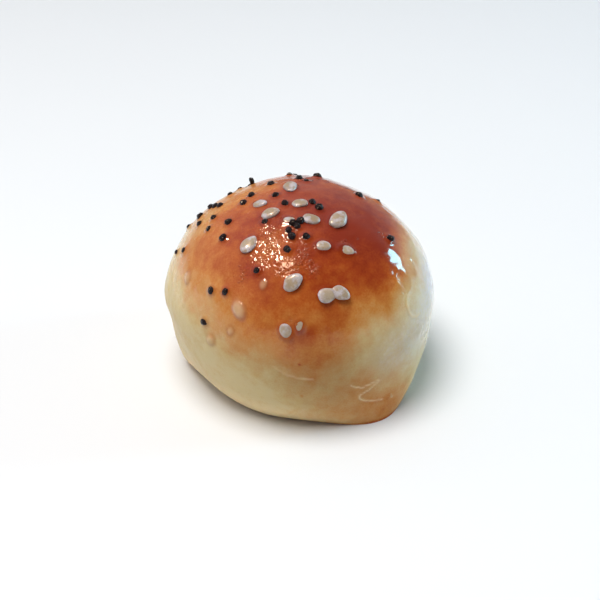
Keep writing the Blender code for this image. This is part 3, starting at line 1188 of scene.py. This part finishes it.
class BREAD_ROLL_OT_sesame(bpy.types.Operator):
    """Adds the white sesame seeds"""

    bl_idname = "bread_roll.sesame"
    bl_label = "Sesame Seeds"

    def execute(self, context):
        crust, settings = context.scene.roll_crust, context.scene.roll_seeds
        seeds, local, rim, (rows, columns) = sesame_rings(settings)
        shown = np.array([s.sink <= BURIED for s in seeds])
        seeds, local, rim = [s for s in seeds if s.sink <= BURIED], local[shown], rim[shown]
        spots = spots_on(skin_of(crust), seeds)
        draw = np.random.default_rng(settings.random_seed + 5)
        sizes, sinks = np.array([s.size for s in seeds]), np.array([s.sink for s in seeds])
        lifts = settings.sesame_thickness / 2 * sizes * (1 - 2 * sinks) + uneven(spots[0], crust)
        turns = np.array([s.turn for s in seeds])
        placed = set_on_skin(local, spots, turns, lifts, draw.uniform(-12, 12, len(seeds)))
        rises = np.array([s.rise for s in seeds])
        shades = 0.45 * draw.uniform(0, 1, len(seeds)) + 0.7 * np.clip((rises - 25) / 50, 0, 1)
        mesh = seed_mesh("sesame_seeds", placed, rows, columns, shades, rim=rim)
        add_piece("sesame_seeds", mesh, sesame_material(settings))
        return {"FINISHED"}


class BREAD_ROLL_OT_poppy(bpy.types.Operator):
    """Adds the round dark seeds"""

    bl_idname = "bread_roll.poppy"
    bl_label = "Dark Seeds"

    def execute(self, context):
        crust, settings = context.scene.roll_crust, context.scene.roll_seeds
        seeds, local, (rows, columns) = poppy_rings(settings)
        spots = spots_on(skin_of(crust), seeds)
        draw = np.random.default_rng(settings.random_seed + 6)
        sizes, prouds = np.array([s.size for s in seeds]), np.array([s.proud for s in seeds])
        lifts = settings.poppy_diameter / 2 * sizes * prouds + uneven(spots[0], crust)
        count = len(seeds)
        tilts = draw.uniform(-40, 40, count) * np.array([not s.standing for s in seeds])
        placed = set_on_skin(local, spots, draw.uniform(0, 360, count), lifts, tilts)
        mesh = seed_mesh("poppy_seeds", placed, rows, columns, draw.uniform(0, 1, count))
        add_piece("poppy_seeds", mesh, poppy_material(settings))
        return {"FINISHED"}


def aim(thing, place, target):
    """Stands a light or the camera at a place, looking along -Z at its target."""
    thing.location = place
    thing.rotation_euler = (Vector(target) - Vector(place)).to_track_quat("-Z", "Y").to_euler()


def area_light(name, toward, distance, size, power, colour, only=None):
    """A rectangular or round light at a (bearing, rise) from the roll, facing it. It can be kept to
    the glossy reflections or to the diffuse light only.
    """
    data = bpy.data.lights.new(name, "AREA")
    data.shape = "DISK" if np.isscalar(size) else "RECTANGLE"
    data.size = size if np.isscalar(size) else size[0]
    if not np.isscalar(size):
        data.size_y = size[1]
    data.energy, data.color = power, colour
    light = bpy.data.objects.new(name, data)
    bpy.context.scene.collection.objects.link(light)
    aim(light, BELLY_MIDDLE + direction(*toward) * distance, BELLY_MIDDLE)
    light.visible_diffuse, light.visible_glossy = only != "glossy", only != "diffuse"
    light.visible_camera = False
    return light


class BREAD_ROLL_OT_stage(bpy.types.Operator):
    """Adds the floor, the lights, the room and the camera"""

    bl_idname = "bread_roll.stage"
    bl_label = "Stage"

    def execute(self, context):
        stage = context.scene.roll_stage
        half = stage.floor_size / 2
        corners = [(-half, -half, 0), (half, -half, 0), (half, half, 0), (-half, half, 0)]
        mesh = bpy.data.meshes.new("floor")
        mesh.from_pydata(corners, [], [(0, 1, 2, 3)])
        floor = bpy.data.objects.new("floor", mesh)
        mesh.materials.append(floor_material(stage))
        context.scene.collection.objects.link(floor)
        warm, cool, sky, neutral = (1.0, 0.74, 0.52), (0.46, 0.78, 1.0), (0.34, 0.85, 1.0), (1.0, 0.99, 0.97)
        area_light("lamp", (222, 77), 0.60, 0.34, stage.lamp_power, neutral, only="diffuse")
        area_light("lamp_glint", (195, 66), 0.60, 0.06, stage.glint_power, warm, only="glossy")
        area_light("second_glint", (247, 67), 0.60, 0.10, stage.glint_power * 0.17, warm, only="glossy")
        area_light("window", (10, 12), 0.60, (0.12, 0.34), stage.window_power, cool, only="diffuse")
        area_light("window_glint", (22, 18), 0.60, (0.10, 0.15), stage.window_power * 0.45, sky, only="glossy")
        area_light("low_glint", (4, 14), 0.60, (0.05, 0.17), stage.window_power * 0.25, sky, only="glossy")
        area_light("left_fill", (165, 25), 0.70, (0.5, 0.5), stage.fill_power, neutral, only="diffuse")
        self.room(context.scene, stage)
        self.camera(context.scene, stage)
        context.scene.view_settings.view_transform = "Standard"
        context.scene.view_settings.look = "None"
        return {"FINISHED"}

    @staticmethod
    def room(scene, stage):
        """A dim room with broad glows, which the camera itself sees as pale as the floor. A glow's
        strength is a power of the cosine of the angle to its direction.
        """
        world = bpy.data.worlds.new("room")
        scene.world = world
        world.use_nodes = True
        tree = world.node_tree
        where = node(tree, "ShaderNodeTexCoord").outputs["Generated"]
        light = (stage.surround,) * 3
        for glow in ROOM_GLOWS:
            toward = direction(glow.bearing, glow.rise)
            inputs = {0: where, 1: tuple(toward)}
            facing = node(tree, "ShaderNodeVectorMath", inputs, operation="DOT_PRODUCT").outputs["Value"]
            strength = maths(tree, "POWER", maths(tree, "MAXIMUM", facing, 0.0), glow.sharpness)
            inputs = {0: strength, 1: glow.colour, 2: light}
            light = node(tree, "ShaderNodeVectorMath", inputs, operation="MULTIPLY_ADD").outputs["Vector"]
        seen = node(tree, "ShaderNodeLightPath").outputs["Is Camera Ray"]
        background = tree.nodes["Background"]
        tree.links.new(mixed(tree, seen, light, (0.9, 0.9, 0.9, 1)), background.inputs["Color"])

    @staticmethod
    def camera(scene, stage):
        data = bpy.data.cameras.new("camera")
        data.lens, data.sensor_width = stage.lens, 36
        data.clip_start, data.clip_end = 0.005, 50
        camera = bpy.data.objects.new("camera", data)
        scene.collection.objects.link(camera)
        target = np.array([0.0001, 0, stage.target_height])
        place = target + direction(270, math.degrees(stage.camera_rise)) * stage.camera_distance
        aim(camera, place, target)
        scene.camera = camera


class BREAD_ROLL_PT_panel(bpy.types.Panel):
    """Everything that makes the roll, in order"""

    bl_idname = "BREAD_ROLL_PT_panel"
    bl_label = "Glazed Bread Roll"
    bl_space_type = "VIEW_3D"
    bl_region_type = "UI"
    bl_category = "Bread Roll"

    def draw(self, context):
        for operator in OPERATORS:
            self.layout.operator(operator.bl_idname)
        for group in (context.scene.roll_crust, context.scene.roll_seeds, context.scene.roll_stage):
            box = self.layout.box()
            for key in group.bl_rna.properties.keys():
                if key not in {"rna_type", "name"}:
                    box.prop(group, key)


SETTINGS = {"roll_crust": CrustSettings, "roll_seeds": SeedSettings, "roll_stage": StageSettings}
OPERATORS = (
    BREAD_ROLL_OT_crust,
    BREAD_ROLL_OT_glaze_bubbles,
    BREAD_ROLL_OT_sesame,
    BREAD_ROLL_OT_poppy,
    BREAD_ROLL_OT_stage,
)
CLASSES = (*SETTINGS.values(), *OPERATORS, BREAD_ROLL_PT_panel)


def register():
    for kind in CLASSES:
        bpy.utils.register_class(kind)
    for key, kind in SETTINGS.items():
        setattr(bpy.types.Scene, key, PointerProperty(type=kind))


def unregister():
    for key in SETTINGS:
        delattr(bpy.types.Scene, key)
    for kind in reversed(CLASSES):
        bpy.utils.unregister_class(kind)


def main():
    register()
    bpy.ops.bread_roll.crust()
    bpy.ops.bread_roll.glaze_bubbles()
    bpy.ops.bread_roll.sesame()
    bpy.ops.bread_roll.poppy()
    bpy.ops.bread_roll.stage()


if __name__ == "__main__":
    main()
